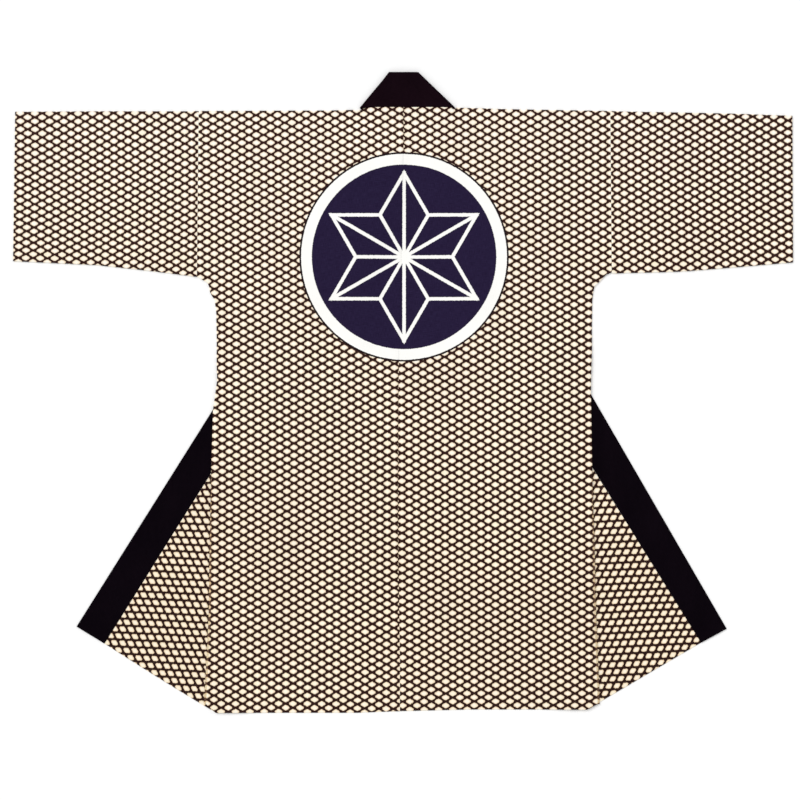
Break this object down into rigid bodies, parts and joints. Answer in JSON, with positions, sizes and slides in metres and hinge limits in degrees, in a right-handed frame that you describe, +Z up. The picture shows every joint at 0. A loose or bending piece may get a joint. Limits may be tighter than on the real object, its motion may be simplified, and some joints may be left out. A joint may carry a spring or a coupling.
{
  "type": "hanten",
  "caption": "Short straight coat of cotton laid flat, back up: square sleeves, black band collar, and fronts folded out on a slant below the waist.",
  "frame": {"origin": "under the middle of the laid garment's bounding box, on the surface it lies on", "axes": "+X towards the wearer's right sleeve, +Y towards the collar, +Z up from the surface, out of the garment's back"},
  "size_m": [1.286, 1.0584, 0.0078],
  "materials": {
    "lattice_cotton": "matt woven cotton, cream with a printed black lattice",
    "black_cotton": "matt black woven cotton"
  },
  "bodies": {
    "root": {"body_left": "lattice_cotton", "body_right": "lattice_cotton", "sleeve_left": "lattice_cotton", "sleeve_right": "lattice_cotton", "collar": "black_cotton"}
  },
  "joints": []
}
